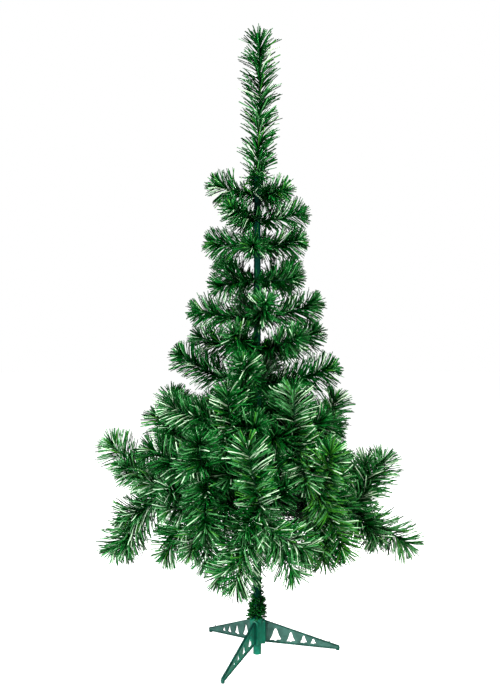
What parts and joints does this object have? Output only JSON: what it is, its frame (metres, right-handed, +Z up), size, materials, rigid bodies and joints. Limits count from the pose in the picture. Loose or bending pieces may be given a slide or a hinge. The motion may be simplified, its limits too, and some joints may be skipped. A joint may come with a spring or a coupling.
{
  "type": "artificial christmas tree",
  "caption": "Small undecorated artificial Christmas tree of green tinsel sprays on a taped pole, in a three-legged plastic stand.",
  "frame": {"origin": "middle of the flat underside of the stand's socket tube, on the floor", "axes": "+Z up along the pole, -Y towards the front that the picture shows, +X to its right"},
  "size_m": [0.467, 0.4213, 0.9012],
  "materials": {
    "stand_plastic": "moulded, dull",
    "pole_tape": "wound tape, soft sheen",
    "bough_wire": "wrapped wire",
    "needles": "cut plastic film, slight gloss"
  },
  "bodies": {
    "root": {"stand_hub": "stand_plastic", "stand_leg_right": "stand_plastic", "stand_leg_back": "stand_plastic", "stand_leg_front": "stand_plastic", "pole": "pole_tape", "leader": "needles", "tier1_spray1": "needles", "tier1_spray2": "needles", "tier1_spray3": "needles", "tier2_spray1": "needles", "tier2_spray2": "needles", "tier2_spray3": "needles", "tier3_spray1": "needles", "tier3_spray2": "needles", "tier3_spray3": "needles", "tier3_spray4": "needles", "tier4_spray1": "needles", "tier4_spray2": "needles", "tier4_spray3": "needles", "tier4_spray4": "needles", "tier5_spray1": "needles", "tier5_spray2": "needles", "tier5_spray3": "needles", "tier5_spray4": "needles", "tier6_spray1": "needles", "tier6_spray2": "needles", "tier6_spray3": "needles", "tier6_spray4": "needles", "tier7_spray1": "needles", "tier7_spray2": "needles", "tier7_spray3": "needles", "tier7_spray4": "needles", "bough1": "bough_wire", "bough2": "bough_wire", "bough3": "bough_wire", "bough4": "bough_wire", "bough5": "bough_wire", "bough6": "bough_wire", "bough7": "bough_wire", "bough8": "bough_wire", "bough9": "bough_wire", "bough10": "bough_wire", "bough11": "bough_wire", "bough12": "bough_wire", "bough13": "bough_wire", "bough14": "bough_wire", "bough1_foliage": "needles", "bough2_foliage": "needles", "bough3_foliage": "needles", "bough4_foliage": "needles", "bough5_foliage": "needles", "bough6_foliage": "needles", "bough7_foliage": "needles", "bough8_foliage": "needles", "bough9_foliage": "needles", "bough10_foliage": "needles", "bough11_foliage": "needles", "bough12_foliage": "needles", "bough13_foliage": "needles", "bough14_foliage": "needles"}
  },
  "joints": []
}
